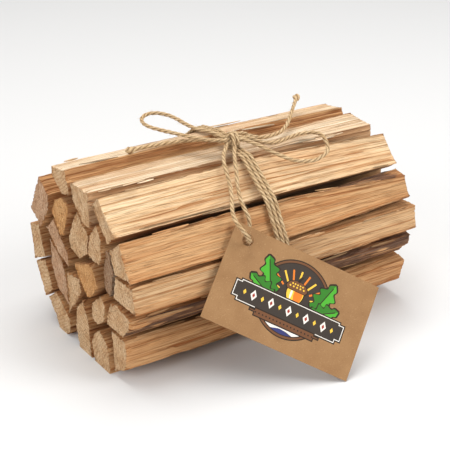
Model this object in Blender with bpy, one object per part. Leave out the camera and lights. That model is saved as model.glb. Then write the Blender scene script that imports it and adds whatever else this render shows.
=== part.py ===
"""Bundle of split kindling, tied round the middle with jute twine, with a card tag.

Frame: +X along the sticks, -Y towards the side where the tag leans, +Z up.
The origin is at the bottom centre of the bundle, on the surface it lies on.
"""
import math
import random

import bpy
import bmesh
from mathutils import Matrix, Vector

MM = 0.001

# Driving sizes, in millimetres.
STICK_LENGTH = 203.0
TWINE_DIAMETER = 2.5
TOUCHING_GAP = 0.35
TAG_LENGTH = 95.0
TAG_HEIGHT = 59.0
TAG_THICKNESS = 0.5
TAG_HOLE_RADIUS = 3.4
TAG_HOLE_FROM_SIDE = 10.0
TAG_HOLE_FROM_TOP = 7.6

# The lowest sticks are bowed up over the twine, which passes under them.
WRAP_TURNS = 3
WRAP_MIDDLE_X = -0.4
WRAP_PITCH = 2.85
WRAP_START_Y = -9.0
ARCH_HEIGHT = 3.3
ARCH_FLAT_HALF = 15.0
ARCH_END_HALF = 60.0

# Cross-sections along a stick, as shares of half its length.
STATIONS = (-1.0, -0.8, -0.6, -0.36, -0.12, 0.14, 0.38, 0.6, 0.8, 1.0)

# Wear of a split stick: how far its edges and faces stand in from its outline.
EDGE_WEAR = 0.7
EDGE_WAVE_LENGTH = 140.0
FACE_HOLLOW = 0.9
LONG_FACE = 11.0
END_ROUGHNESS = 0.9

# Each stick: its outline (y, z) seen from its left end, how far its left and
# right ends stand past the nominal length, and its material.
STICKS = {
    "stick_top_back": (
        [(30, 109.5), (12.5, 112.5), (8.2, 101.5), (9, 96.5), (18, 95), (30, 103)], 0.5, -1.0, "wood_pale"),
    "stick_top_middle": (
        [(7.3, 107), (-15, 108), (-15.5, 94), (-15.5, 84.8), (-7, 85), (6, 95.5)], 0.0, 1.0, "wood_pale"),
    "stick_top_front": (
        [(-17.3, 101), (-25, 109), (-43.8, 90.8), (-34.5, 82.5)], -0.5, 1.5, "wood_pale"),
    "stick_front_upper": (
        [(-36.5, 81), (-49, 90.5), (-60.8, 69.8), (-42, 68)], 0.0, -0.5, "wood_tan"),
    "stick_front_middle": (
        [(-41, 66.5), (-61.5, 68), (-64.5, 51.5), (-38.5, 51.5)], -0.5, 1.5, "wood_tan"),
    "stick_front_bark": (
        [(-35.5, 47.5), (-44, 50), (-59, 46), (-58, 39), (-49.5, 31), (-30.5, 31), (-30.5, 36)], 0.0, 0.5, "bark"),
    "stick_front_lower": (
        [(-34.5, 29.5), (-50, 29.5), (-53, 24), (-50.5, 9.5), (-37, 3)], -0.5, 0.0, "wood_tan"),
    "stick_bottom_front": (
        [(-17, 20.5), (-23, 24.5), (-33, 17.5), (-35.3, 2.5), (-33.5, 0), (-14.5, 0), (-12, 13)], 1.0, 0.5, "wood_tan"),
    "stick_bottom_middle": (
        [(6, 26), (-3, 35.5), (-9.8, 22), (-12, 0), (4.5, 0), (8, 13)], 1.0, -1.0, "wood_tan"),
    "stick_bottom_back": (
        [(45.6, 15.8), (33.6, 24.9), (15.5, 12), (16.5, 2.5), (21, 0), (32, 0)], 0.5, 1.5, "wood_tan"),
    "stick_back_lower": (
        [(58.4, 36.2), (43.7, 42.6), (35, 24.5), (47.5, 15)], 1.5, -1.0, "wood_brown"),
    "stick_back_middle": (
        [(64.5, 59.5), (51.5, 63.5), (44.5, 43), (61.2, 35.4)], 1.0, 0.5, "wood_tan"),
    "stick_back_upper": (
        [(46.5, 97), (34.2, 89), (34.2, 80), (47.5, 62), (61.5, 71), (54, 85)], 1.5, -0.5, "wood_brown"),
    "stick_inner_top_back": (
        [(33, 80), (27.5, 89), (18.5, 94), (9.5, 91.5), (9, 85.5), (18, 67.5), (22.5, 67)], 1.0, -1.5, "wood_brown"),
    "stick_inner_top_middle": (
        [(7, 84.5), (2, 90.5), (-12.5, 80), (-9.5, 66.5), (1, 59.5), (13, 62.5), (14.5, 70)], -0.5, 1.0, "wood_tan"),
    "stick_inner_top_front": (
        [(-14.5, 82), (-24, 92.5), (-29.3, 84), (-28.5, 71.5), (-25.5, 66.5), (-13.5, 66.5), (-11.3, 69.5)],
        0.5, -0.5, "wood_tan"),
    "stick_core": (
        [(4.5, 56.5), (-15.5, 65), (-20, 62), (-25, 52), (-17.5, 43), (-11, 39.5), (1.5, 50)], 1.5, 0.5, "wood_brown"),
    "stick_inner_back": (
        [(43, 65), (32, 74.5), (14, 58.5), (14, 48.5), (27, 53)], 0.5, 1.0, "wood_tan"),
    "stick_inner_low_back": (
        [(40.5, 58), (25, 49.5), (19.3, 36), (19, 20.5), (33, 26.5), (40.5, 40)], -0.5, -1.0, "wood_brown"),
    "stick_inner_low_middle": (
        [(17.5, 45), (0.5, 48), (-1.5, 38.5), (9.5, 24), (17.5, 16.5)], 0.5, 1.5, "wood_tan"),
    "stick_inner_slab": (
        [(-31, 79), (-35, 79.5), (-40, 67.5), (-37, 53), (-33.5, 49.5), (-27, 54), (-27, 65), (-29.8, 73)],
        -1.0, 0.0, "wood_grey"),
    "stick_inner_low_front": (
        [(-13, 37.5), (-24.5, 48), (-31, 42.5), (-28.5, 31), (-20.5, 25.5), (-13.5, 26.5)], 0.5, 1.0, "wood_tan"),
}

# Corners of an outline that have moved at the stick's right end, by their place in
# it. They start to move where TAPER_START is along the stick.
RIGHT_END_CORNERS = {
    "stick_top_back": {0: (32, 107.5), 1: (13.6, 110), 2: (9.5, 101)},
    "stick_top_middle": {0: (8, 108), 1: (-14.2, 106.2)},
    "stick_top_front": {0: (-18, 100.3), 1: (-25.8, 104), 2: (-40.8, 88), 3: (-33, 82.4)},
    "stick_front_upper": {0: (-41, 85.6), 1: (-50.5, 84.3), 2: (-57, 71.2)},
    "stick_front_middle": {1: (-60, 67), 2: (-62.5, 51.5)},
    "stick_front_lower": {1: (-48.8, 28.6), 2: (-55.8, 26.8), 3: (-51.5, 11)},
}
TAPER_START = 12.0

# The knot, a lump of crossing strands on top of the wraps.
KNOT_CENTRE = (-2.5, -11.5, 117.4)
KNOT_HALF_SIZE = (6.6, 5.2, 3.1)

# Routes of the free ends and loops of the twine, from the knot outwards.
CORD_ROUTES = {
    "bow_loop_left": [
        (-8, -7, 119), (-12, -1.5, 121), (-18, 4.5, 122.3), (-20, 13.5, 123), (-20.5, 23, 123.5),
        (-22, 31.5, 123.6), (-25, 38.5, 123.2), (-29.8, 42, 122.3), (-34.6, 40.2, 121), (-36.4, 34.8, 119.8),
        (-35, 28.8, 119.1), (-32, 23, 118.6), (-28.5, 15.5, 118.5), (-25, 8, 118.5), (-21, 0.5, 118.3),
        (-15.5, -6.5, 118), (-10.3, -10.6, 118)],
    "bow_loop_right": [
        (5.4, -12.3, 117.2), (9.5, -12.3, 116.1), (13.8, -12.6, 113.8), (18, -13.3, 111.8), (22.5, -14.8, 110.8),
        (27, -15.7, 110.6), (32.5, -14.8, 110.5), (39.5, -13, 110.5), (46, -12.3, 110.6), (51.5, -14, 111),
        (54.6, -18.5, 111.6), (54.9, -24, 111.9), (54.4, -29.3, 109.5), (53, -32.7, 106.9), (50.5, -34.9, 105),
        (45.5, -36, 103.6), (39.7, -36.5, 102.9), (31.3, -35.3, 103.9), (25.5, -33.6, 105.4), (22, -32.2, 107.1),
        (17, -30, 109.7), (12.8, -27, 112.3), (8.8, -22.3, 114.8), (5, -17.6, 116.4)],
    "twine_end_left": [
        (-10.5, -3.5, 116), (-15, 1, 115.6), (-19.5, 5, 115), (-25.8, 7.6, 115), (-32.5, 9.4, 115),
        (-39.8, 10.6, 115), (-47.5, 11.4, 115), (-54.5, 12.1, 114.8), (-61.5, 12.7, 114.6)],
    "twine_end_right": [
        (4.8, -7.2, 118.2), (9.5, -5.6, 116.8), (14.5, -4.8, 114), (20, -5.3, 111.8), (26, -6, 110.9),
        (33, -5.2, 110.9), (39.5, -3.2, 111), (46, 0.8, 112), (51.5, 5, 114), (57, 10.2, 115.8), (64, 17, 117.8),
        (72.5, 25.5, 119.5)],
    "tag_string": [
        (-9.5, -15, 114.5), (-14, -19.5, 113), (-18.5, -26.5, 111.4), (-20.5, -33, 106.3), (-22, -38.3, 101.6),
        (-24.5, -43.5, 97.8), (-28, -49, 95), (-31.3, -55, 92.7), (-32.8, -61, 89.8), (-31.8, -66, 86.5),
        (-29.8, -68.3, 82.8), (-27.8, -67.3, 79.6), (-26.3, -64.6, 77.6), (-25.2, -61.6, 77), (-23.6, -59.2, 77.5),
        (-22, -57.6, 79.4), (-20.6, -56.4, 82.4), (-19.9, -54.8, 85.8), (-20, -52.6, 89), (-20.2, -49.5, 92),
        (-19.6, -45.5, 95), (-18, -40.8, 98.8), (-16, -36.5, 103), (-13.8, -32.5, 107), (-11.5, -27.8, 110.6),
        (-8.5, -22.5, 112.8), (-5.5, -18.3, 114.2)],
}
CORD_STEP = 2.4
CURVE_STEPS = 24
ARC_STEP_DEGREES = 18.0

# The tag stands on its lower right corner and leans back on the sticks.
TAG_LOW_CORNER = (6.6, -115.9)
TAG_ALONG = (0.759, -0.442, -0.478)
TAG_UP = (0.631, 0.317, 0.708)

# Colour, roughness and metallic value of each material.
MATERIALS = {
    "wood_pale": ((0.80, 0.62, 0.40), 0.80, 0.0),
    "wood_tan": ((0.62, 0.42, 0.23), 0.82, 0.0),
    "wood_brown": ((0.48, 0.28, 0.13), 0.84, 0.0),
    "wood_grey": ((0.42, 0.33, 0.23), 0.85, 0.0),
    "bark": ((0.40, 0.26, 0.15), 0.90, 0.0),
    "twine": ((0.52, 0.39, 0.22), 0.92, 0.0),
    "card": ((0.52, 0.35, 0.19), 0.88, 0.0),
}


def clear_scene():
    for obj in list(bpy.data.objects):
        bpy.data.objects.remove(obj, do_unlink=True)


def make_material(name):
    colour, roughness, metallic = MATERIALS[name]
    material = bpy.data.materials.new(name)
    material.use_nodes = True
    shader = material.node_tree.nodes["Principled BSDF"]
    shader.inputs["Base Color"].default_value = (*colour, 1.0)
    shader.inputs["Roughness"].default_value = roughness
    shader.inputs["Metallic"].default_value = metallic
    material.diffuse_color = (*colour, 1.0)
    return material


def add_object(name, data, material):
    obj = bpy.data.objects.new(name, data)
    bpy.context.scene.collection.objects.link(obj)
    data.materials.append(material)
    return obj


def arch_height(x):
    """Height that the lowest sticks clear at x, over the twine under them."""
    away = abs(x - WRAP_MIDDLE_X)
    if away <= ARCH_FLAT_HALF:
        return ARCH_HEIGHT
    share = min((away - ARCH_FLAT_HALF) / (ARCH_END_HALF - ARCH_FLAT_HALF), 1.0)
    return ARCH_HEIGHT * 0.5 * (1.0 + math.cos(math.pi * share))


def outline_points(outline, moved, rng):
    """Corners, and a point along each long face: at the left, at the right, and their wear."""
    left = [Vector(corner) for corner in outline]
    right = [Vector(moved.get(i, corner)) for i, corner in enumerate(outline)]
    points = []
    count = len(outline)
    for i in range(count):
        j = (i + 1) % count
        points.append((left[i], right[i], 0.0, rng.uniform(0.0, math.tau)))
        if (left[j] - left[i]).length > LONG_FACE:
            share = rng.uniform(0.35, 0.65)
            hollow = rng.uniform(0.25, 1.0) * FACE_HOLLOW
            places = (left[i].lerp(left[j], share), right[i].lerp(right[j], share))
            points.append((*places, hollow, rng.uniform(0.0, math.tau)))
    return points


def stick_section(points, centre, x):
    """The stick's outline at x: worn inwards, lifted over the twine, flat on the floor."""
    moved = max(0.0, (x - TAPER_START) / (STICK_LENGTH / 2.0 - TAPER_START))
    section = []
    for left, right, hollow, phase in points:
        point = left.lerp(right, moved)
        if point.y <= 0.0:
            y, z = point
        else:
            wave = 0.5 + 0.5 * math.sin(math.tau * x / EDGE_WAVE_LENGTH + phase)
            inward = (centre - point).normalized()
            y, z = point + inward * (hollow + EDGE_WEAR * wave)
        section.append((y, max(z, arch_height(x))))
    return section


def make_stick(name, outline, left_extra, right_extra, seed, material):
    """A split stick: rings of points along X, closed by a fan at each end."""
    rng = random.Random(seed)
    points = outline_points(outline, RIGHT_END_CORNERS.get(name, {}), rng)
    centre = sum((Vector(corner) for corner in outline), Vector((0.0, 0.0))) / len(outline)
    half = STICK_LENGTH / 2.0
    mesh = bmesh.new()
    rings = []
    for share in STATIONS:
        extra = left_extra if share < 0.0 else right_extra
        x = share * (half + extra)
        ring = []
        for y, z in stick_section(points, centre, x):
            rough = rng.uniform(-END_ROUGHNESS, 0.0) if abs(share) == 1.0 else 0.0
            ring.append(mesh.verts.new(Vector((x + math.copysign(rough, -share), y, z)) * MM))
        rings.append(ring)
    count = len(points)
    for ring, following in zip(rings, rings[1:]):
        for i in range(count):
            j = (i + 1) % count
            mesh.faces.new((ring[i], ring[j], following[j], following[i]))
    for ring in (rings[0], rings[-1]):
        middle = sum((vert.co for vert in ring), Vector()) / count
        hub = mesh.verts.new(middle)
        for i in range(count):
            mesh.faces.new((ring[i], ring[(i + 1) % count], hub))
    bmesh.ops.triangulate(mesh, faces=mesh.faces)
    bmesh.ops.recalc_face_normals(mesh, faces=mesh.faces)
    data = bpy.data.meshes.new(name)
    mesh.to_mesh(data)
    mesh.free()
    return add_object(name, data, material)


def convex_hull(points):
    """Corners of the smallest convex outline round the points, counter-clockwise."""
    def turn(a, b, c):
        return (b[0] - a[0]) * (c[1] - a[1]) - (b[1] - a[1]) * (c[0] - a[0])

    ordered = sorted(set(points))
    chains = []
    for run in (ordered, ordered[::-1]):
        chain = []
        for point in run:
            while len(chain) > 1 and turn(chain[-2], chain[-1], point) <= 0.0:
                chain.pop()
            chain.append(point)
        chains.append(chain[:-1])
    return chains[0] + chains[1]


def wrap_outline():
    """One turn of twine round the sticks: a point where it meets and leaves each corner."""
    corners = [(y, max(z, ARCH_HEIGHT)) for outline, *_ in STICKS.values() for y, z in outline]
    hull = convex_hull(corners)
    reach = TWINE_DIAMETER / 2.0 + TOUCHING_GAP
    turn = []
    for i, corner in enumerate(hull):
        here = Vector(corner)
        before = here - Vector(hull[i - 1])
        after = Vector(hull[(i + 1) % len(hull)]) - here
        start = math.atan2(-before.x, before.y)
        sweep = (math.atan2(-after.x, after.y) - start) % math.tau
        steps = max(1, round(math.degrees(sweep) / ARC_STEP_DEGREES))
        for k in range(steps + 1):
            angle = start + sweep * k / steps
            turn.append(here + Vector((math.cos(angle), math.sin(angle))) * reach)
    return turn


def wrap_route():
    """The whole winding: turns side by side, starting and ending under the knot."""
    turn = wrap_outline()
    top = [i for i, p in enumerate(turn) if p.y > 100.0 and p.x < WRAP_START_Y]
    first = max(top, key=lambda i: turn[i].x)
    share = (WRAP_START_Y - turn[first].x) / (turn[first - 1].x - turn[first].x)
    turn = [turn[first].lerp(turn[first - 1], share)] + turn[first:] + turn[:first]
    lengths = [0.0]
    for a, b in zip(turn, turn[1:] + turn[:1]):
        lengths.append(lengths[-1] + (b - a).length)
    route = []
    start_x = WRAP_MIDDLE_X - WRAP_PITCH * WRAP_TURNS / 2.0
    for lap in range(WRAP_TURNS):
        for point, run in zip(turn, lengths):
            x = start_x + WRAP_PITCH * (lap + run / lengths[-1])
            route.append(Vector((x, point.x, point.y)))
    last = turn[0]
    route.append(Vector((start_x + WRAP_PITCH * WRAP_TURNS, last.x, last.y)))
    return route


def smooth_route(route, step):
    """Points an even step apart on a smooth curve through the route's points."""
    points = [Vector(p) for p in route]
    ends = [points[0] * 2.0 - points[1], points[-1] * 2.0 - points[-2]]
    padded = [ends[0]] + points + [ends[1]]
    dense = []
    for a, b, c, d in zip(padded, padded[1:], padded[2:], padded[3:]):
        for k in range(CURVE_STEPS):
            t = k / CURVE_STEPS
            dense.append(0.5 * (2.0 * b + (c - a) * t + (2.0 * a - 5.0 * b + 4.0 * c - d) * t ** 2
                                + (3.0 * b - a - 3.0 * c + d) * t ** 3))
    dense.append(points[-1])
    total = sum((b - a).length for a, b in zip(dense, dense[1:]))
    count = max(2, round(total / step))
    even = [dense[0]]
    walked = 0.0
    for a, b in zip(dense, dense[1:]):
        length = (b - a).length
        while len(even) < count and walked + length >= total * len(even) / count:
            even.append(a.lerp(b, (total * len(even) / count - walked) / length))
        walked += length
    even.append(dense[-1])
    return even


def make_tube(name, points, diameter, material):
    """A round tube with filled ends, along points in millimetres."""
    curve = bpy.data.curves.new(name, "CURVE")
    curve.dimensions = "3D"
    curve.bevel_depth = diameter / 2.0 * MM
    curve.bevel_resolution = 2
    curve.use_fill_caps = True
    spline = curve.splines.new("POLY")
    spline.points.add(len(points) - 1)
    for target, point in zip(spline.points, points):
        target.co = (*(Vector(point) * MM), 1.0)
    return add_object(name, curve, material)


def make_knot(material):
    """The knot's outer shape: a rounded lump."""
    mesh = bmesh.new()
    bmesh.ops.create_uvsphere(mesh, u_segments=12, v_segments=8, radius=MM)
    bmesh.ops.transform(mesh, matrix=Matrix.Diagonal((*KNOT_HALF_SIZE, 1.0)), verts=mesh.verts)
    bmesh.ops.translate(mesh, vec=Vector(KNOT_CENTRE) * MM, verts=mesh.verts)
    data = bpy.data.meshes.new("knot")
    mesh.to_mesh(data)
    mesh.free()
    return add_object("knot", data, material)


def tag_frame():
    """The tag's long direction, its short direction, and the way it faces."""
    along = Vector(TAG_ALONG).normalized()
    up = Vector(TAG_UP)
    up = (up - along * up.dot(along)).normalized()
    return along, up, along.cross(up)


def make_tag(material):
    """A thin card with a round hole near its upper left corner."""
    along, up, facing = tag_frame()
    hole_x = TAG_HOLE_FROM_SIDE - TAG_LENGTH
    hole_y = TAG_HEIGHT - TAG_HOLE_FROM_TOP
    corners = [(0.0, 0.0), (0.0, TAG_HEIGHT), (-TAG_LENGTH, TAG_HEIGHT), (-TAG_LENGTH, 0.0)]
    sides = 24
    mesh = bmesh.new()
    layers = []
    for depth in (0.0, -TAG_THICKNESS):
        rim = [mesh.verts.new((x, y, depth)) for x, y in corners]
        hole = []
        for k in range(sides):
            angle = math.tau * (k + 0.5) / sides
            x = hole_x + TAG_HOLE_RADIUS * math.cos(angle)
            y = hole_y + TAG_HOLE_RADIUS * math.sin(angle)
            hole.append(mesh.verts.new((x, y, depth)))
        edges = [mesh.edges.new((rim[i], rim[(i + 1) % 4])) for i in range(4)]
        edges += [mesh.edges.new((hole[i], hole[(i + 1) % sides])) for i in range(sides)]
        bmesh.ops.triangle_fill(mesh, edges=edges, use_beauty=True)
        layers.append((rim, hole))
    for front, back in zip(layers[0], layers[1]):
        for i in range(len(front)):
            j = (i + 1) % len(front)
            mesh.faces.new((front[i], front[j], back[j], back[i]))
    bmesh.ops.recalc_face_normals(mesh, faces=mesh.faces)
    turn = Matrix((along, up, facing)).transposed().to_4x4()
    bmesh.ops.transform(mesh, matrix=turn, verts=mesh.verts)
    lowest = min(vert.co.z for vert in mesh.verts)
    bmesh.ops.translate(mesh, vec=(*TAG_LOW_CORNER, -lowest), verts=mesh.verts)
    bmesh.ops.scale(mesh, vec=(MM, MM, MM), verts=mesh.verts)
    data = bpy.data.meshes.new("tag")
    mesh.to_mesh(data)
    mesh.free()
    return add_object("tag", data, material)


def build():
    clear_scene()
    materials = {name: make_material(name) for name in MATERIALS}
    for seed, (name, (outline, left, right, wood)) in enumerate(STICKS.items(), start=1):
        make_stick(name, outline, left, right, seed, materials[wood])
    make_tube("twine_wraps", wrap_route(), TWINE_DIAMETER, materials["twine"])
    make_knot(materials["twine"])
    for name, route in CORD_ROUTES.items():
        points = smooth_route(route, CORD_STEP * TWINE_DIAMETER)
        make_tube(name, points, TWINE_DIAMETER, materials["twine"])
    make_tag(materials["card"])


build()
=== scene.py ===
"""Looks of a bundle of split kindling tied with jute twine, with a printed card tag.

Sizes are in millimetres until a mesh is made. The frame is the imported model's:
+X along the sticks, -Y towards the tag, +Z up.
"""
import math

import bpy
import numpy as np
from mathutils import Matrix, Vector
from mathutils.geometry import delaunay_2d_cdt


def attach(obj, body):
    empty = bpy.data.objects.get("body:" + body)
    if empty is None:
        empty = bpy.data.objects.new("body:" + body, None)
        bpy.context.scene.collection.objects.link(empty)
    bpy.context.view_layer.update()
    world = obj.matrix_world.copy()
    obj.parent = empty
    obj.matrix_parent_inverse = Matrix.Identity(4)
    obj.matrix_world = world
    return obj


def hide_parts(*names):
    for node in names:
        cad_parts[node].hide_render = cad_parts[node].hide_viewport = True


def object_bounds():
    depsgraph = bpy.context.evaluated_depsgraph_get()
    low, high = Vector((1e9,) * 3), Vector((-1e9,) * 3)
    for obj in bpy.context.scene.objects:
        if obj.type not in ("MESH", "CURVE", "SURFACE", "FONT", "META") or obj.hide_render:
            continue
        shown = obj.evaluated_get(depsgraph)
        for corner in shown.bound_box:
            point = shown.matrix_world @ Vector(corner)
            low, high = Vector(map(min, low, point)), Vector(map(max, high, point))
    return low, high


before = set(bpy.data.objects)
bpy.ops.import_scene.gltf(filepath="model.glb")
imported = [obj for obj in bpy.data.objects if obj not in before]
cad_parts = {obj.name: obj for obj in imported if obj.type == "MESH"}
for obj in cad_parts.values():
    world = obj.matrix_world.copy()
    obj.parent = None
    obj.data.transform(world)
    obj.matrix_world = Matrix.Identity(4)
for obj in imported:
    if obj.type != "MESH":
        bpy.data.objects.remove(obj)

cad_low, cad_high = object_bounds()

MM = 0.001

# The camera, at the photograph's place and angle.
FOCAL_LENGTH = 100.0
SENSOR_WIDTH = 36.0
CAMERA_PLACE = (-389.4, -587.7, 386.2)
CAMERA_TURN = math.radians(33.52)
CAMERA_DOWN = math.radians(25.1)

# Sticks.
STICK_LENGTH = 203.0
ROUND_STEP = 0.6
LONG_STEP = 2.4
END_STEPS = (0.0, 0.5, 1.2, 2.2, 3.6)
CAP_RINGS = (0.975, 0.9, 0.81, 0.72, 0.63, 0.54, 0.45, 0.36, 0.27, 0.18, 0.09)
EDGE_WEAR = 0.75
EDGE_WIDTH = 1.1

# Lowest sticks are bowed up over the twine, which passes under them.
WRAP_TURNS = 3
WRAP_MIDDLE_X = -0.4
WRAP_PITCH = 2.85
WRAP_START_Y = -9.0
ARCH_HEIGHT = 3.3
ARCH_FLAT_HALF = 15.0
ARCH_END_HALF = 60.0

# Twine: three plies laid together.
TWINE_DIAMETER = 2.5
TOUCHING_GAP = 0.35
PLIES = 3
PLY_PITCH = 13.0
PLY_GROOVE = 0.38
TWINE_SIDES = 30
TWINE_STEP = 0.6

# Tag.
TAG_LENGTH = 95.0
TAG_HEIGHT = 59.0
TAG_THICKNESS = 0.5
TAG_HOLE_RADIUS = 3.4
TAG_HOLE = (10.0, 51.4)
TAG_LOW_CORNER = (6.6, -115.9)
TAG_ALONG = (0.759, -0.442, -0.478)
TAG_UP = (0.631, 0.317, 0.708)

# The printed emblem on the tag, and its inks.
EMBLEM_MIDDLE = (47.5, 30.5)
BADGE_RADIUS = 21.0
BADGE_DISC = 3
INKS = {
    "black": (0.012, 0.010, 0.009), "charcoal": (0.030, 0.028, 0.027), "brown": (0.150, 0.062, 0.028),
    "green": (0.055, 0.400, 0.030), "leaf_shade": (0.018, 0.190, 0.018), "gold": (0.900, 0.560, 0.060),
    "orange": (0.780, 0.200, 0.020), "cream": (0.840, 0.800, 0.730), "rust": (0.330, 0.030, 0.022),
    "navy": (0.020, 0.036, 0.160),
}

# The twine's and its fibres' darker and paler colours, and the bare card's.
JUTE_TONES = ((0.46, 0.30, 0.15), (0.84, 0.65, 0.40))
HAIR_TONES = ((0.62, 0.45, 0.26), (0.88, 0.72, 0.48))
CARD_TONES = ((0.285, 0.151, 0.064), (0.340, 0.190, 0.084))

# The studio: brightness of floor and sky, and soft square lamps, each with its place
# in metres, size, power and colour.
FLOOR_SHADE = 0.70
SKY_STRENGTH = 0.52
LAMP_TARGET = (0.0, 0.0, 0.05)
LAMPS = {
    "key": ((0.0, 0.2, 1.3), 1.0, 12.5, (1.0, 0.985, 0.96)),
    "side": ((-1.1, -0.4, 0.7), 0.7, 6.0, (1.0, 1.0, 1.0)),
    "front": ((0.8, -1.0, 0.8), 0.8, 12.5, (1.0, 1.0, 1.0)),
}

# Sizes of the wood's relief and of its bark's pattern, across and along the grain.
RIBS = (1.35, 140.0)
STRIPS = (2.9, 190.0)
TEARS = (2.2, 19.0)
BOWS = (14.0, 60.0)
CHIPS = (5.0, 5.0)
FLAKES = (3.0, 7.0)
FINE_FLAKES = (1.4, 3.5)
BARK_GAPS = (2.5, 16.0)
BARK_LUMPS = (1.8, 5.0)
BARK_STREAKS = (1.4, 18.0)
RINGS_PER_MM = 0.46

# Painted shade darkens what is this deep in the bundle and this far from its ends,
# each over the length that follows it.
GAP_SHADE_DEPTH = (6.5, 5.0)
GAP_SHADE_FROM_END = (8.0, 26.0)
GAP_SHADE_SHARE = 0.80

# Slivers of wood: the ranges of their length, half width and half thickness, in
# millimetres, and how many cross-sections each has.
SLIVER_LENGTHS = (7.0, 30.0)
SLIVER_HALF_WIDTHS = (0.35, 0.8)
SLIVER_HALF_THICKNESSES = (0.18, 0.35)
SLIVER_STEPS = 7

# Loose fibres: the range that sets how far they reach, where their cross-sections are
# before the tip, and how many there are on a millimetre of twine.
HAIR_REACHES = (1.2, 4.0)
HAIR_STEPS = (0.0, 0.35, 0.7)
HAIRS_ON_CORD = 1.6
HAIRS_ON_WINDING = 1.2
HAIRS_ON_KNOT = 2.4

# Colours of wood, before light falls on it, except where said below.
# PALE, for the two top sticks, is as bright as their lit tops look: partly the wood's own pale tone, partly
# painted light from above.
PALE = (0.92, 0.79, 0.59)
CREAM = (0.89, 0.69, 0.44)
TAN = (0.71, 0.435, 0.215)
SAND = (0.75, 0.51, 0.285)
BROWN = (0.56, 0.32, 0.15)
# INNER is for faces that look into the bundle: browner partly from weathering, partly as painted shade
# between the sticks.
INNER = (0.70, 0.43, 0.21)
GREY = (0.36, 0.28, 0.20)
BARK = (0.17, 0.095, 0.06)
INNER_BARK = (0.42, 0.22, 0.10)
END_TAN = (0.74, 0.53, 0.32)
END_ORANGE = (0.72, 0.42, 0.18)
END_PINK = (0.64, 0.43, 0.28)
END_GREY = (0.40, 0.26, 0.16)

# Middle of the bundle (y, z), which its outer faces look away from.
BUNDLE_MIDDLE = (0.0, 55.0)

# Each stick: its outline (y, z) seen from its left end, how far its left and
# right ends stand past the nominal length, and its side and end colours.
STICKS = {
    "stick_top_back": (
        [(30, 109.5), (12.5, 112.5), (8.2, 101.5), (9, 96.5), (18, 95), (30, 103)],
        0.5, -1.0, PALE, END_TAN),
    "stick_top_middle": (
        [(7.3, 107), (-15, 108), (-15.5, 94), (-15.5, 84.8), (-7, 85), (6, 95.5)], 0.0, 1.0, PALE, END_TAN),
    "stick_top_front": (
        [(-17.3, 101), (-25, 109), (-43.8, 90.8), (-34.5, 82.5)], -0.5, 1.5, CREAM, END_TAN),
    "stick_front_upper": (
        [(-36.5, 81), (-49, 90.5), (-60.8, 69.8), (-42, 68)], 0.0, -0.5, TAN, END_TAN),
    "stick_front_middle": (
        [(-41, 66.5), (-61.5, 68), (-64.5, 51.5), (-38.5, 51.5)], -0.5, 1.5, SAND, END_TAN),
    "stick_front_bark": (
        [(-35.5, 47.5), (-44, 50), (-59, 46), (-58, 39), (-49.5, 31), (-30.5, 31), (-30.5, 36)],
        0.0, 0.5, TAN, END_TAN),
    "stick_front_lower": (
        [(-34.5, 29.5), (-50, 29.5), (-53, 24), (-50.5, 9.5), (-37, 3)], -0.5, 0.0, TAN, END_TAN),
    "stick_bottom_front": (
        [(-17, 20.5), (-23, 24.5), (-33, 17.5), (-35.3, 2.5), (-33.5, 0), (-14.5, 0), (-12, 13)],
        1.0, 0.5, TAN, END_TAN),
    "stick_bottom_middle": (
        [(6, 26), (-3, 35.5), (-9.8, 22), (-12, 0), (4.5, 0), (8, 13)], 1.0, -1.0, TAN, END_TAN),
    "stick_bottom_back": (
        [(45.6, 15.8), (33.6, 24.9), (15.5, 12), (16.5, 2.5), (21, 0), (32, 0)], 0.5, 1.5, TAN, END_TAN),
    "stick_back_lower": (
        [(58.4, 36.2), (43.7, 42.6), (35, 24.5), (47.5, 15)], 1.5, -1.0, BROWN, END_TAN),
    "stick_back_middle": (
        [(64.5, 59.5), (51.5, 63.5), (44.5, 43), (61.2, 35.4)], 1.0, 0.5, TAN, END_TAN),
    "stick_back_upper": (
        [(46.5, 97), (34.2, 89), (34.2, 80), (47.5, 62), (61.5, 71), (54, 85)], 1.5, -0.5, BROWN, END_PINK),
    "stick_inner_top_back": (
        [(33, 80), (27.5, 89), (18.5, 94), (9.5, 91.5), (9, 85.5), (18, 67.5), (22.5, 67)],
        1.0, -1.5, BROWN, END_ORANGE),
    "stick_inner_top_middle": (
        [(7, 84.5), (2, 90.5), (-12.5, 80), (-9.5, 66.5), (1, 59.5), (13, 62.5), (14.5, 70)],
        -0.5, 1.0, TAN, END_TAN),
    "stick_inner_top_front": (
        [(-14.5, 82), (-24, 92.5), (-29.3, 84), (-28.5, 71.5), (-25.5, 66.5), (-13.5, 66.5), (-11.3, 69.5)],
        0.5, -0.5, TAN, END_TAN),
    "stick_core": (
        [(4.5, 56.5), (-15.5, 65), (-20, 62), (-25, 52), (-17.5, 43), (-11, 39.5), (1.5, 50)],
        1.5, 0.5, BROWN, END_ORANGE),
    "stick_inner_back": (
        [(43, 65), (32, 74.5), (14, 58.5), (14, 48.5), (27, 53)], 0.5, 1.0, TAN, END_PINK),
    "stick_inner_low_back": (
        [(40.5, 58), (25, 49.5), (19.3, 36), (19, 20.5), (33, 26.5), (40.5, 40)],
        -0.5, -1.0, BROWN, END_PINK),
    "stick_inner_low_middle": (
        [(17.5, 45), (0.5, 48), (-1.5, 38.5), (9.5, 24), (17.5, 16.5)],
        0.5, 1.5, TAN, END_TAN),
    "stick_inner_slab": (
        [(-31, 79), (-35, 79.5), (-40, 67.5), (-37, 53), (-33.5, 49.5), (-27, 54), (-27, 65), (-29.8, 73)],
        -1.0, 0.0, GREY, END_GREY),
    "stick_inner_low_front": (
        [(-13, 37.5), (-24.5, 48), (-31, 42.5), (-28.5, 31), (-20.5, 25.5), (-13.5, 26.5)],
        0.5, 1.0, TAN, END_TAN),
}

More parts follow.
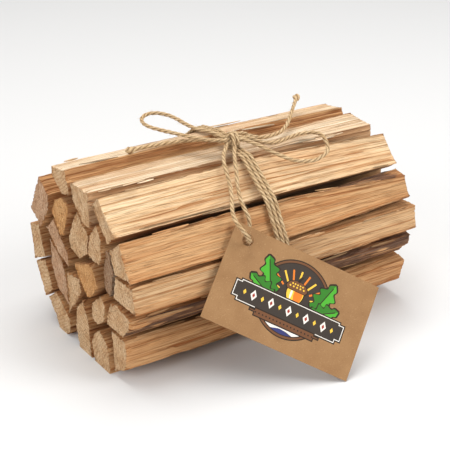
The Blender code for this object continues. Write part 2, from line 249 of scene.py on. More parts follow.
# Corners of an outline that have moved at the stick's right end, by their place in
# it. They start to move where TAPER_START is along the stick.
RIGHT_END_CORNERS = {
    "stick_top_back": {0: (32, 107.5), 1: (13.6, 110), 2: (9.5, 101)},
    "stick_top_middle": {0: (8, 108), 1: (-14.2, 106.2)},
    "stick_top_front": {0: (-18, 100.3), 1: (-25.8, 104), 2: (-40.8, 88), 3: (-33, 82.4)},
    "stick_front_upper": {0: (-41, 85.6), 1: (-50.5, 84.3), 2: (-57, 71.2)},
    "stick_front_middle": {1: (-60, 67), 2: (-62.5, 51.5)},
    "stick_front_lower": {1: (-48.8, 28.6), 2: (-55.8, 26.8), 3: (-51.5, 11)},
}
TAPER_START = 12.0

# Where bark is left: stick, face of its outline, from and to along the stick.
BARK_PATCHES = [
    ("stick_front_bark", 2, -96.0, 110.0), ("stick_front_bark", 3, -110.0, 110.0),
    ("stick_front_bark", 1, 25.0, 110.0), ("stick_front_upper", 0, 22.0, 96.0),
]

# Edges with slivers of wood along them: stick, corner of its outline, how many.
SPLINTERED = [
    ("stick_top_back", 0, 5), ("stick_top_back", 1, 6), ("stick_top_middle", 1, 9),
    ("stick_top_front", 1, 12), ("stick_top_front", 2, 10), ("stick_front_upper", 1, 10),
    ("stick_front_upper", 2, 8),
    ("stick_front_middle", 1, 7), ("stick_front_middle", 2, 6), ("stick_front_bark", 2, 8),
    ("stick_front_bark", 4, 8), ("stick_front_lower", 1, 6), ("stick_front_lower", 3, 5),
    ("stick_back_upper", 0, 6), ("stick_back_upper", 4, 6), ("stick_back_middle", 0, 6),
    ("stick_back_lower", 0, 6), ("stick_bottom_back", 0, 5),
]

# Routes of the free ends and loops of the twine, in metres, from the knot outwards.
CORD_ROUTES = {
    "bow_loop_left": [
        (-.008, -.007, .119), (-.012, -.0015, .121), (-.018, .0045, .1223), (-.02, .0135, .123),
        (-.0205, .023, .1235), (-.022, .0315, .1236), (-.025, .0385, .1232), (-.0298, .042, .1223),
        (-.0346, .0402, .121), (-.0364, .0348, .1198), (-.035, .0288, .1191), (-.032, .023, .1186),
        (-.0285, .0155, .1185), (-.025, .008, .1185), (-.021, .0005, .1183), (-.0155, -.0065, .118),
        (-.0103, -.0106, .118)],
    "bow_loop_right": [
        (.0054, -.0123, .1172), (.0095, -.0123, .1161), (.0138, -.0126, .1138), (.018, -.0133, .1118),
        (.0225, -.0148, .1108), (.027, -.0157, .1106), (.0325, -.0148, .1105), (.0395, -.013, .1105),
        (.046, -.0123, .1106), (.0515, -.014, .111), (.0546, -.0185, .1116), (.0549, -.024, .1119),
        (.0544, -.0293, .1095), (.053, -.0327, .1069), (.0505, -.0349, .105), (.0455, -.036, .1036),
        (.0397, -.0365, .1029), (.0313, -.0353, .1039), (.0255, -.0336, .1054), (.022, -.0322, .1071),
        (.017, -.03, .1097), (.0128, -.027, .1123), (.0088, -.0223, .1148), (.005, -.0176, .1164)],
    "twine_end_left": [
        (-.0105, -.0035, .116), (-.015, .001, .1156), (-.0195, .005, .115), (-.0258, .0076, .115),
        (-.0325, .0094, .115), (-.0398, .0106, .115), (-.0475, .0114, .115), (-.0545, .0121, .1148),
        (-.0615, .0127, .1146)],
    "twine_end_right": [
        (.0048, -.0072, .1182), (.0095, -.0056, .1168), (.0145, -.0048, .114), (.02, -.0053, .1118),
        (.026, -.006, .1109), (.033, -.0052, .1109), (.0395, -.0032, .111), (.046, .0008, .112),
        (.0515, .005, .114), (.057, .0102, .1158), (.064, .017, .1178), (.0725, .0255, .1195)],
    "tag_string": [
        (-.0095, -.015, .1145), (-.014, -.0195, .113), (-.0185, -.0265, .1114), (-.0205, -.033, .1063),
        (-.022, -.0383, .1016), (-.0245, -.0435, .0978), (-.028, -.049, .095), (-.0313, -.055, .0927),
        (-.0328, -.061, .0898), (-.0318, -.066, .0865), (-.0298, -.0683, .0828), (-.0278, -.0673, .0796),
        (-.0263, -.0646, .0776), (-.0252, -.0616, .077), (-.0236, -.0592, .0775), (-.022, -.0576, .0794),
        (-.0206, -.0564, .0824), (-.0199, -.0548, .0858), (-.02, -.0526, .089), (-.0202, -.0495, .092),
        (-.0196, -.0455, .095), (-.018, -.0408, .0988), (-.016, -.0365, .103), (-.0138, -.0325, .107),
        (-.0115, -.0278, .1106), (-.0085, -.0225, .1128), (-.0055, -.0183, .1142)],
}

# The knot at a loose end: half its length, and how much thicker it is than the
# twine, as a share of the twine's radius.
END_KNOT_HALF = 2.6
END_KNOT_SWELL = {"twine_end_left": 1.10, "twine_end_right": 1.20}

KNOT_CENTRE = (-2.5, -11.5, 117.4)
KNOT_REACH = 16.0

# The knot's crossing strands, from its centre.
KNOT_STRANDS = [
    [(-6.6, 3.2, -1.6), (-3.8, 2.4, 1.0), (-0.4, 0.4, 2.4), (3.2, -1.8, 1.4), (6.6, -2.6, -1.4)],
    [(-1.9, -4.6, -2.2), (-1.7, -4.2, 1.0), (-1.3, -1.6, 3.6), (-0.7, 1.8, 3.0), (-0.5, 4.4, 0.6),
     (-0.4, 4.8, -2.2)],
    [(0.9, -4.6, -2.2), (1.1, -4.0, 0.8), (1.3, -1.4, 3.5), (1.8, 2.0, 2.8), (2.0, 4.4, 0.4),
     (2.0, 4.6, -2.2)],
]


def smooth_noise(seed, *axes):
    """Noise from -1 to 1, smooth along each of two or three axes given as arrays."""
    size = 32
    table = np.random.default_rng(seed).uniform(-1.0, 1.0, (size,) * len(axes))
    cells = [np.floor(axis).astype(int) for axis in axes]
    shares = [axis - cell for axis, cell in zip(axes, cells)]
    shares = [share * share * (3.0 - 2.0 * share) for share in shares]
    total = 0.0
    for corner in range(2 ** len(axes)):
        weight = 1.0
        index = []
        for k, (cell, share) in enumerate(zip(cells, shares)):
            high = corner >> k & 1
            weight = weight * (share if high else 1.0 - share)
            index.append((cell + high) % size)
        total = total + weight * table[tuple(index)]
    return total


def make_piece(name, points, faces, materials, slots=None):
    """A mesh piece from points in millimetres; slots gives each face's material."""
    data = bpy.data.meshes.new(name)
    data.from_pydata([tuple(p) for p in np.asarray(points, float) * MM], [], faces)
    for material in materials:
        data.materials.append(material)
    if slots is not None:
        data.polygons.foreach_set("material_index", np.asarray(slots, dtype=np.int32))
    data.validate()
    data.update()
    obj = bpy.data.objects.new(name, data)
    bpy.context.scene.collection.objects.link(obj)
    return obj


def shade_smooth(obj):
    obj.data.polygons.foreach_set("use_smooth", np.ones(len(obj.data.polygons), dtype=bool))


def set_attribute(obj, name, kind, values):
    """Keeps one value for each point of the piece, for its material to read."""
    layer = obj.data.attributes.new(name, kind, "POINT")
    field = "color" if kind == "FLOAT_COLOR" else "vector"
    layer.data.foreach_set(field, np.ascontiguousarray(values, dtype=np.float32).ravel())


def make_camera():
    data = bpy.data.cameras.new("camera")
    data.lens = FOCAL_LENGTH
    data.sensor_width = SENSOR_WIDTH
    data.clip_start = 0.01
    camera = bpy.data.objects.new("camera", data)
    camera.location = Vector(CAMERA_PLACE) * MM
    camera.rotation_euler = (math.radians(90.0) - CAMERA_DOWN, 0.0, -CAMERA_TURN)
    bpy.context.scene.collection.objects.link(camera)
    bpy.context.scene.camera = camera


class Recipe:
    """A material's shader nodes, made and joined in one call each."""

    def __init__(self, name, roughness=0.85):
        self.material = bpy.data.materials.new(name)
        self.material.use_nodes = True
        self.tree = self.material.node_tree
        self.shader = self.tree.nodes["Principled BSDF"]
        self.shader.inputs["Roughness"].default_value = roughness
        self.shader.inputs["Specular IOR Level"].default_value = 0.3

    def node(self, kind, inputs=(), **settings):
        """Adds a node; inputs maps a socket's name or number to a value or an output."""
        node = self.tree.nodes.new(kind)
        for key, value in settings.items():
            setattr(node, key, value)
        for key, value in dict(inputs).items():
            if isinstance(value, bpy.types.NodeSocket):
                self.tree.links.new(value, node.inputs[key])
            else:
                node.inputs[key].default_value = value
        return node

    def math(self, operation, a, b=0.0, c=0.0):
        return self.node("ShaderNodeMath", {0: a, 1: b, 2: c}, operation=operation).outputs[0]

    def scaled(self, vector, scale):
        """The vector with each axis scaled by its own number."""
        return self.node("ShaderNodeVectorMath", {0: vector, 1: scale}, operation="MULTIPLY").outputs[0]

    def noise(self, vector, scale, detail):
        """Noise from 0 to 1; three numbers as its scale stand for the three axes."""
        if isinstance(scale, tuple):
            vector, scale = self.scaled(vector, scale), 1.0
        node = self.node("ShaderNodeTexNoise", {"Vector": vector, "Scale": scale, "Detail": detail})
        return node.outputs["Fac"]

    def spread(self, value, low, high, to_low=0.0, to_high=1.0):
        """Maps low..high to to_low..to_high, held at both ends."""
        node = self.node("ShaderNodeMapRange", {
            "Value": value, "From Min": low, "From Max": high, "To Min": to_low, "To Max": to_high})
        return node.outputs["Result"]

    def blend(self, share, a, b, kind="MIX"):
        node = self.node("ShaderNodeMix", data_type="RGBA", blend_type=kind)
        for socket, value in ((node.inputs[0], share), (node.inputs[6], a), (node.inputs[7], b)):
            if isinstance(value, bpy.types.NodeSocket):
                self.tree.links.new(value, socket)
            elif socket is node.inputs[0]:
                socket.default_value = value
            else:
                socket.default_value = (*value, 1.0)
        return node.outputs[2]

    def darken(self, share, colour, tone):
        """The colour multiplied by a tone, where share says how much."""
        return self.blend(share, colour, tone, "MULTIPLY")

    def finish(self, colour, height=None, depth=0.0001, roughness=None):
        """Joins the colour, the bump and the roughness to the shader."""
        self.tree.links.new(colour, self.shader.inputs["Base Color"])
        if height is not None:
            bump = self.node("ShaderNodeBump", {"Height": height, "Strength": 1.0, "Distance": depth})
            self.tree.links.new(bump.outputs["Normal"], self.shader.inputs["Normal"])
        if roughness is not None:
            self.tree.links.new(roughness, self.shader.inputs["Roughness"])
        return self.material


def grain_place(r):
    """The wood's own coordinates, its tint, and the share of a growth ring at each place."""
    grain = r.node("ShaderNodeAttribute", attribute_name="grain").outputs["Vector"]
    tint = r.node("ShaderNodeAttribute", attribute_name="tint").outputs["Color"]
    across = r.scaled(grain, (0.0, 1.0, 1.0))
    radius = r.node("ShaderNodeVectorMath", {0: across}, operation="LENGTH").outputs["Value"]
    drift = r.noise(grain, (0.0030, 0.07, 0.07), 2.0)
    radius = r.math("MULTIPLY_ADD", drift, 7.0, radius)
    return grain, tint, r.math("FRACT", r.math("MULTIPLY", radius, RINGS_PER_MM))


def wood_side_material():
    """Split wood along the grain: growth lines, fine fibres, stains and dark pores."""
    r = Recipe("split_wood")
    grain, tint, ring = grain_place(r)
    dashes = r.noise(grain, (0.030, 0.9, 0.9), 2.0)
    late = r.math("MULTIPLY", r.spread(ring, 0.72, 0.98), r.spread(dashes, 0.34, 0.50))
    fibre = r.noise(grain, (0.012, 2.1, 2.1), 5.0)
    streak = r.spread(r.noise(grain, (0.007, 0.95, 0.95), 3.0), 0.53, 0.63)
    pores = r.spread(r.noise(grain, (0.07, 3.0, 3.0), 2.0), 0.56, 0.70)
    patch = r.noise(grain, (0.010, 0.16, 0.16), 3.0)
    stain = r.noise(grain, (0.012, 0.08, 0.08), 4.0)
    colour = r.darken(r.spread(patch, 0.38, 0.66, 0.0, 0.55), tint, (0.80, 0.60, 0.42))
    colour = r.darken(r.spread(stain, 0.52, 0.72, 0.0, 0.50), colour, (0.78, 0.56, 0.38))
    colour = r.darken(r.math("MULTIPLY", streak, 0.60), colour, (0.68, 0.47, 0.28))
    colour = r.darken(r.math("MULTIPLY", late, 0.85), colour, (0.56, 0.34, 0.17))
    colour = r.darken(r.spread(fibre, 0.40, 0.68, 0.0, 0.65), colour, (0.72, 0.54, 0.36))
    colour = r.darken(r.math("MULTIPLY", pores, 0.50), colour, (0.42, 0.27, 0.16))
    height = r.math("SUBTRACT", fibre, r.math("MULTIPLY", late, 0.7))
    height = r.math("SUBTRACT", height, r.math("MULTIPLY", streak, 0.4))
    height = r.math("SUBTRACT", height, r.math("MULTIPLY", pores, 0.6))
    return r.finish(colour, height, 0.0004, r.spread(fibre, 0.3, 0.7, 0.74, 0.92))


def wood_end_material():
    """Sawn end grain: growth rings, pits and rough fibres."""
    r = Recipe("end_grain", 0.9)
    grain, tint, ring = grain_place(r)
    late = r.spread(ring, 0.45, 1.0)
    pits = r.spread(r.noise(grain, (1.0, 1.6, 1.6), 3.0), 0.55, 0.70)
    rough = r.noise(grain, (1.0, 0.8, 0.8), 5.0)
    patch = r.noise(grain, (0.3, 0.13, 0.13), 3.0)
    colour = r.darken(r.spread(patch, 0.38, 0.64, 0.0, 0.65), tint, (0.76, 0.60, 0.44))
    colour = r.darken(r.math("MULTIPLY", late, 0.60), colour, (0.66, 0.44, 0.27))
    colour = r.darken(r.spread(rough, 0.42, 0.70, 0.0, 0.55), colour, (0.66, 0.50, 0.36))
    colour = r.darken(r.math("MULTIPLY", pits, 0.55), colour, (0.40, 0.25, 0.14))
    height = r.math("SUBTRACT", rough, r.math("MULTIPLY", pits, 0.8))
    return r.finish(colour, height, 0.0009)


def twine_material(name, colour_low, colour_high):
    """Jute: pale fibres laid along the plies, with painted shade in the grooves between them."""
    r = Recipe(name, 0.9)
    lay = r.node("ShaderNodeAttribute", attribute_name="lay").outputs["Vector"]
    parts = r.node("ShaderNodeSeparateXYZ", {0: lay})
    depth = parts.outputs["Z"]
    fibre = r.noise(lay, (0.35, 9.0, 0.0), 4.0)
    blotch = r.noise(lay, (0.12, 0.6, 0.0), 2.0)
    colour = r.blend(r.spread(fibre, 0.38, 0.62), colour_low, colour_high)
    colour = r.darken(r.spread(blotch, 0.40, 0.66, 0.0, 0.55), colour, (0.70, 0.56, 0.40))
    # Painted shade in the grooves between the plies, strongest away from a ply's crest.
    colour = r.darken(r.spread(depth, 0.05, 0.80, 0.90, 0.0), colour, (0.26, 0.16, 0.08))
    return r.finish(colour, fibre, 0.0003)


def card_material(name, ink=None):
    """Kraft card with flecks of fibre, bare or under an ink that lets it show a little."""
    r = Recipe(name, 0.88)
    place = r.node("ShaderNodeTexCoord").outputs["Object"]
    cloud = r.noise(place, 90.0, 4.0)
    fleck = r.spread(r.noise(place, 1500.0, 3.0), 0.60, 0.72)
    hair = r.spread(r.noise(place, (900.0, 2600.0, 1400.0), 2.0), 0.63, 0.70)
    colour = r.blend(r.spread(cloud, 0.3, 0.7), *CARD_TONES)
    colour = r.blend(r.math("MULTIPLY", fleck, 0.45), colour, (0.17, 0.085, 0.035))
    colour = r.blend(r.math("MULTIPLY", hair, 0.35), colour, (0.56, 0.36, 0.19))
    if ink is not None:
        colour = r.blend(r.spread(cloud, 0.2, 0.8, 0.90, 0.97), colour, ink)
    return r.finish(colour, r.noise(place, 1800.0, 3.0), 0.00005)


def convex_hull(points):
    """Corners of the smallest convex outline round the points, counter-clockwise."""
    def turn(a, b, c):
        return (b[0] - a[0]) * (c[1] - a[1]) - (b[1] - a[1]) * (c[0] - a[0])

    ordered = sorted(set(points))
    chains = []
    for run in (ordered, ordered[::-1]):
        chain = []
        for point in run:
            while len(chain) > 1 and turn(chain[-2], chain[-1], point) <= 0.0:
                chain.pop()
            chain.append(point)
        chains.append(chain[:-1])
    return chains[0] + chains[1]


def arch_height(x):
    """Height that the lowest sticks clear at x, over the twine under them."""
    away = np.abs(x - WRAP_MIDDLE_X) - ARCH_FLAT_HALF
    share = np.clip(away / (ARCH_END_HALF - ARCH_FLAT_HALF), 0.0, 1.0)
    return ARCH_HEIGHT * 0.5 * (1.0 + np.cos(math.pi * share))


def bundle_hull():
    """Corners (y, z) of the outline stretched round all the sticks."""
    corners = [(y, max(z, ARCH_HEIGHT)) for outline, *_ in STICKS.values() for y, z in outline]
    return convex_hull(corners)


def depth_in_bundle(places):
    """How far each place (y, z) is from the outline stretched round all the sticks."""
    hull = np.array(bundle_hull())
    along = np.roll(hull, -1, axis=0) - hull
    inward = np.stack([-along[:, 1], along[:, 0]], axis=1) / np.linalg.norm(along, axis=1)[:, None]
    return ((places[:, None, :] - hull[None, :, :]) * inward[None, :, :]).sum(axis=2).min(axis=1)


def outline_samples(name, rng):
    """Points round an outline, as named arrays, and the outline's centre.

    left and right are the points' places at the two ends, near is how far each is
    from a corner, buried is how far its face looks into the bundle, and depth is how
    far it is inside the outline stretched round all the sticks.
    """
    outline = STICKS[name][0]
    moved = RIGHT_END_CORNERS.get(name, {})
    left = np.array(outline, float)
    right = np.array([moved.get(i, corner) for i, corner in enumerate(outline)], float)
    along_left = np.roll(left, -1, axis=0) - left
    along_right = np.roll(right, -1, axis=0) - right
    lengths = np.linalg.norm(along_left, axis=1)
    centre = left.mean(axis=0)
    inward = np.stack([-along_left[:, 1], along_left[:, 0]], axis=1) / lengths[:, None]
    if ((centre - left) * inward).sum() < 0.0:
        inward = -inward
    made = {key: [] for key in ("left", "right", "inward", "near", "hollow", "buried", "shade", "face")}
    for i, length in enumerate(lengths):
        steps = max(2, round(length / ROUND_STEP))
        hollow = min(0.9, length * 0.06) * rng.uniform(0.2, 1.0)
        middle = left[i] + along_left[i] / 2.0 - np.array(BUNDLE_MIDDLE)
        outer = -(inward[i] @ middle) / np.linalg.norm(middle)
        buried = np.clip((0.72 - outer) / 0.5, 0.0, 1.0)
        shade = rng.uniform(0.93, 1.06)
        for k in range(steps):
            share = k / steps
            normal = inward[i] if k else inward[i] + inward[i - 1]
            normal = normal / np.linalg.norm(normal)
            made["left"].append(left[i] + along_left[i] * share)
            made["right"].append(right[i] + along_right[i] * share)
            made["inward"].append(normal)
            made["near"].append(min(share, 1.0 - share) * length)
            made["hollow"].append(hollow * 4.0 * share * (1.0 - share))
            made["buried"].append(buried)
            made["shade"].append(shade)
            made["face"].append(i)
    samples = {key: np.array(values) for key, values in made.items()}
    samples["depth"] = depth_in_bundle(samples["left"])
    return samples, centre


def grain_noise(seed, y, z, x, sizes):
    """Noise from -1 to 1 on a stick's surface, of these sizes across and along it."""
    across, along = sizes
    return smooth_noise(seed, y / across, z / across, x / along)


def split_surface(samples, x, seed, bark):
    """How far the surface stands in from the outline, and how deep in a groove each place is."""
    y, z = samples["left"].T
    near, hollow, buried = samples["near"], samples["hollow"], samples["buried"]
    ribs = grain_noise(seed, y, z, x, RIBS)
    strip = grain_noise(seed + 1, y, z, x, STRIPS)
    tear = np.clip(grain_noise(seed + 2, y, z, x, TEARS) - 0.42, 0.0, 1.0)
    bow = grain_noise(seed + 3, y, z, x, BOWS)
    chip = np.clip(grain_noise(seed + 4, y, z, x, CHIPS), 0.0, 1.0)
    edge = np.exp(-(near / EDGE_WIDTH) ** 2)
    groove = (0.14 + 0.06 * buried) * (1.0 + ribs) + 0.16 * (1.0 + strip) + 0.60 * tear
    even = (hollow * 0.9 + 0.20 * (1.0 + bow)) * (1.0 - 0.8 * buried)
    wear = even + groove + edge * EDGE_WEAR * (0.30 + 0.85 * chip) * (1.0 - 0.5 * buried)
    flake = grain_noise(seed + 5, y, z, x, FLAKES) - 0.6 * grain_noise(seed + 6, y, z, x, FINE_FLAKES)
    wear = wear + bark * (0.35 + 0.45 * np.clip(flake, -0.7, 1.0))
    deep = np.clip(0.5 + 0.5 * ribs + 0.35 * strip + 1.2 * tear, 0.0, 1.4)
    return np.maximum(wear, 0.03), deep


def bark_share(name, samples, x, seed):
    """Where bark is left on a stick, from 0 to 1, with ragged borders."""
    share = np.zeros(x.shape)
    y, z = samples["left"].T
    for stick, face, start, stop in BARK_PATCHES:
        if stick == name:
            inside = np.minimum(x - start, stop - x) + 9.0 * smooth_noise(seed + 7, y / 3.0, x / 11.0)
            gap = grain_noise(seed + 8, y, z, x, BARK_GAPS)
            patch = np.clip(inside / 2.0, 0.0, 1.0) * np.clip((gap + 0.55) * 5.0, 0.0, 1.0)
            share = np.maximum(share, patch * (samples["face"] == face))
    return share


def bark_tint(samples, x, seed):
    """Bark is rough and dark, with streaks of its reddish inner layer."""
    y, z = samples["left"].T
    rough = grain_noise(seed + 10, y, z, x, BARK_LUMPS)
    streak = np.clip(1.3 * grain_noise(seed + 11, y, z, x, BARK_STREAKS), 0.0, 0.75)[:, :, None]
    return np.array(BARK) * (1.0 + 0.6 * rough)[:, :, None] * (1.0 - streak) + np.array(INNER_BARK) * streak


def side_tint(samples, x, from_end, deep, bark, seed, side_colour):
    """The colour of the split faces: painted shade in grooves and deep in the bundle's gaps, and a browner
    tone, part weathering and part painted shade, on faces that look into the bundle.
    """
    buried = samples["buried"][:, None]
    # Faces that look into the bundle take the INNER colour: part weathering, part painted shade between the
    # sticks.
    colour = np.array(side_colour) * (1.0 - buried) + np.array(INNER) * buried
    colour = colour * samples["shade"][:, None]
    # Painted shade: darker the deeper a place lies in the bundle's gaps, fading out near the stick's ends.
    gap_shade = np.clip((samples["depth"] - GAP_SHADE_DEPTH[0]) / GAP_SHADE_DEPTH[1], 0.0, 1.0)
    gap_shade = gap_shade * np.clip((from_end - GAP_SHADE_FROM_END[0]) / GAP_SHADE_FROM_END[1], 0.0, 1.0)
    colour = colour * (1.0 - GAP_SHADE_SHARE * gap_shade)[:, :, None]
    # Painted shade: darker and browner where the surface lies deep in a groove, more so on faces that look
    # into the bundle.
    depth = (0.20 + 0.45 * buried) * deep[:, :, None]
    colour = colour * (1.0 - depth * np.array([0.62, 0.80, 0.92]))
    return colour * (1.0 - bark[:, :, None]) + bark_tint(samples, x, seed) * bark[:, :, None]


def end_cap(rim, side, seed, rng):
    """Rings of points from an end's rim to its middle, on a rough, slightly tilted face."""
    middle = rim[:, 1:].mean(axis=0)
    tilt = rng.uniform(-0.03, 0.03, 2)
    rings = []
    for share in CAP_RINGS:
        flat = middle + (rim[:, 1:] - middle) * share
        rough = 0.35 + 0.40 * smooth_noise(seed, flat[:, 0] / 1.5, flat[:, 1] / 1.5)
        rough = rough + 0.35 * smooth_noise(seed + 1, flat[:, 0] / 5.0, flat[:, 1] / 5.0)
        depth = np.clip(rough + (flat - middle) @ tilt, 0.0, 1.6) * min(1.0, (1.0 - share) * 20.0)
        rings.append(np.column_stack([rim[:, 0] - side * depth, flat]))
    return rings, np.array([rim[0, 0] - side * 0.3, *middle])


def make_stick(name, seed, materials):
    """A split stick: a fine skin round its outline, with rough sawn ends."""
    _, left_extra, right_extra, side_colour, end_colour = STICKS[name]
    rng = np.random.default_rng(seed)
    samples, centre = outline_samples(name, rng)
    left, right = -STICK_LENGTH / 2.0 - left_extra, STICK_LENGTH / 2.0 + right_extra
    inset = np.array(END_STEPS)
    body = np.linspace(left + 6.0, right - 6.0, round((right - left) / LONG_STEP))
    stations = np.concatenate([left + inset, body, right - inset[::-1]])
    count, rings = len(samples["near"]), len(stations)
    x = np.repeat(stations[:, None], count, axis=1)
    taper = np.clip((x - TAPER_START) / (STICK_LENGTH / 2.0 - TAPER_START), 0.0, None)
    y, z = [samples["left"][:, k] * (1.0 - taper) + samples["right"][:, k] * taper for k in (0, 1)]
    bark = bark_share(name, samples, x, 100 * seed)
    wear, deep = split_surface(samples, x, 100 * seed, bark)
    from_end = np.minimum(x - left, right - x)
    ragged = np.clip(smooth_noise(100 * seed + 9, y / 1.3, z / 1.3), 0.0, 1.0) * np.where(x < 0.0, 1.0, 0.3)
    wear = wear + 0.15 * np.exp(-(from_end / 0.45) ** 2) + 1.4 * ragged * np.exp(-(from_end / 2.2) ** 2)
    wear = np.where(samples["left"][:, 1] <= 0.0, 0.0, wear)
    inset_y, inset_z = [samples["inward"][:, k] * wear for k in (0, 1)]
    straight = np.stack([x, samples["left"][:, 0] + inset_y, samples["left"][:, 1] + inset_z], axis=2)
    skin = np.stack([x, y + inset_y, np.maximum(z + inset_z, arch_height(x))], axis=2).reshape(-1, 3)
    faces = []
    for i in range(rings - 1):
        for j in range(count):
            k = (j + 1) % count
            faces.append((i * count + j, (i + 1) * count + j, (i + 1) * count + k, i * count + k))
    slots = [0] * len(faces)
    points = [skin]
    base = len(skin)
    for side, ring in ((-1.0, 0), (1.0, rings - 1)):
        cap, hub = end_cap(skin[ring * count:(ring + 1) * count], side, seed + 900, rng)
        previous = ring * count
        for loop in cap:
            for j in range(count):
                k = (j + 1) % count
                quad = (previous + j, previous + k, base + k, base + j)
                faces.append(quad if side < 0.0 else quad[::-1])
            points.append(loop)
            previous, base = base, base + count
        for j in range(count):
            triangle = (previous + j, previous + (j + 1) % count, base)
            faces.append(triangle if side < 0.0 else triangle[::-1])
        points.append(hub[None, :])
        base += 1
    slots += [1] * (len(faces) - len(slots))
    points = np.concatenate(points)
    stick = make_piece(name.replace("stick", "split"), points, faces, materials, slots)
    turn, far = rng.uniform(0.0, math.tau), rng.uniform(35.0, 90.0)
    pith = centre + far * np.array([math.cos(turn), math.sin(turn)])
    grain = np.concatenate([straight.reshape(-1, 3), points[len(skin):]]) - np.array([0.0, *pith])
    grain[:, 0] += rng.uniform(0.0, 500.0)
    set_attribute(stick, "grain", "FLOAT_VECTOR", grain)
    tint = np.tile(np.array(end_colour, float), (len(points), 1))
    tint[:len(skin)] = side_tint(samples, x, from_end, deep, bark, 100 * seed, side_colour).reshape(-1, 3)
    tint[:count] = tint[len(skin) - count:len(skin)] = np.array(end_colour) * 0.8
    set_attribute(stick, "tint", "FLOAT_COLOR", np.column_stack([tint, np.ones(len(tint))]))
    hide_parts(name)
    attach(stick, "root")
    return stick


def make_splinters(material):
    """Slivers of wood that lie along the sticks' edges, half torn off."""
    rng = np.random.default_rng(77)
    points, faces, tints, grains = [], [], [], []
    for name, corner, how_many in SPLINTERED:
        outline, _, _, side_colour, _ = STICKS[name]
        left = np.array(outline, float)
        right = np.array(RIGHT_END_CORNERS.get(name, {}).get(corner, outline[corner]), float)
        outward = left[corner] - left.mean(axis=0)
        outward /= np.linalg.norm(outward)
        across = np.array([-outward[1], outward[0]])
        for _ in range(how_many):
            length = rng.uniform(*SLIVER_LENGTHS)
            start = rng.uniform(-STICK_LENGTH / 2.0 + 1.0, STICK_LENGTH / 2.0 - length - 1.0)
            wide, thick = rng.uniform(*SLIVER_HALF_WIDTHS), rng.uniform(*SLIVER_HALF_THICKNESSES)
            offset, lift = rng.uniform(-1.5, 1.5), rng.uniform(0.0, 0.8)
            slant, flip = rng.uniform(-0.8, 0.8), rng.random() < 0.5
            colour = np.array(side_colour) * rng.uniform(0.45, 1.1)
            shift = rng.uniform(0.0, 200.0)
            base = len(points)
            for share in np.linspace(0.0, 1.0, SLIVER_STEPS):
                x = start + length * share
                taper = max(0.0, (x - TAPER_START) / (STICK_LENGTH / 2.0 - TAPER_START))
                edge = left[corner] * (1.0 - taper) + right * taper
                free = 1.0 - share if flip else share
                size = math.sin(math.pi * (0.08 + 0.84 * share)) ** 0.6
                middle = edge - outward * (1.0 - lift * free ** 2) + across * (offset + slant * share)
                for u, v in ((-1, -1), (1, -1), (1, 1), (-1, 1)):
                    place = middle + across * u * wide * size + outward * v * thick * size
                    points.append((x, *place))
                    tints.append((*colour, 1.0))
                    grains.append((x + shift, place[0] + shift, place[1]))
            last = base + 4 * (SLIVER_STEPS - 1)
            for i in range(SLIVER_STEPS - 1):
                for j in range(4):
                    a, b = base + 4 * i + j, base + 4 * i + (j + 1) % 4
                    faces.append((a, a + 4, b + 4, b))
            faces.append((base, base + 1, base + 2, base + 3))
            faces.append((last + 3, last + 2, last + 1, last))
    piece = make_piece("splinters", points, faces, [material])
    set_attribute(piece, "grain", "FLOAT_VECTOR", grains)
    set_attribute(piece, "tint", "FLOAT_COLOR", tints)
    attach(piece, "root")


def smooth_route(route, step):
    """Points an even step apart on a smooth curve through the route's points."""
    points = [Vector(p) for p in route]
    padded = [points[0] * 2.0 - points[1]] + points + [points[-1] * 2.0 - points[-2]]
    pieces_between = 24
    dense = []
    for a, b, c, d in zip(padded, padded[1:], padded[2:], padded[3:]):
        for k in range(pieces_between):
            t = k / pieces_between
            dense.append(0.5 * (2.0 * b + (c - a) * t + (2.0 * a - 5.0 * b + 4.0 * c - d) * t ** 2
                                + (3.0 * b - a - 3.0 * c + d) * t ** 3))
    dense.append(points[-1])
    return even_points(np.array(dense), step)


def even_points(line, step):
    """Points an even step apart along a line of straight pieces."""
    lengths = np.concatenate([[0.0], np.cumsum(np.linalg.norm(np.diff(line, axis=0), axis=1))])
    count = max(2, round(lengths[-1] / step))
    at = np.linspace(0.0, lengths[-1], count + 1)
    return np.column_stack([np.interp(at, lengths, line[:, k]) for k in range(3)])


def side_directions(line):
    """Two directions across the line at each point, carried along without twist."""
    along = np.gradient(line, axis=0)
    along /= np.linalg.norm(along, axis=1)[:, None]
    first = np.cross(along[0], (0.0, 0.0, 1.0))
    if np.linalg.norm(first) < 0.1:
        first = np.cross(along[0], (0.0, 1.0, 0.0))
    sides = [first / np.linalg.norm(first)]
    for direction in along[1:]:
        side = sides[-1] - direction * sides[-1].dot(direction)
        sides.append(side / np.linalg.norm(side))
    sides = np.array(sides)
    return along, sides, np.cross(along, sides)


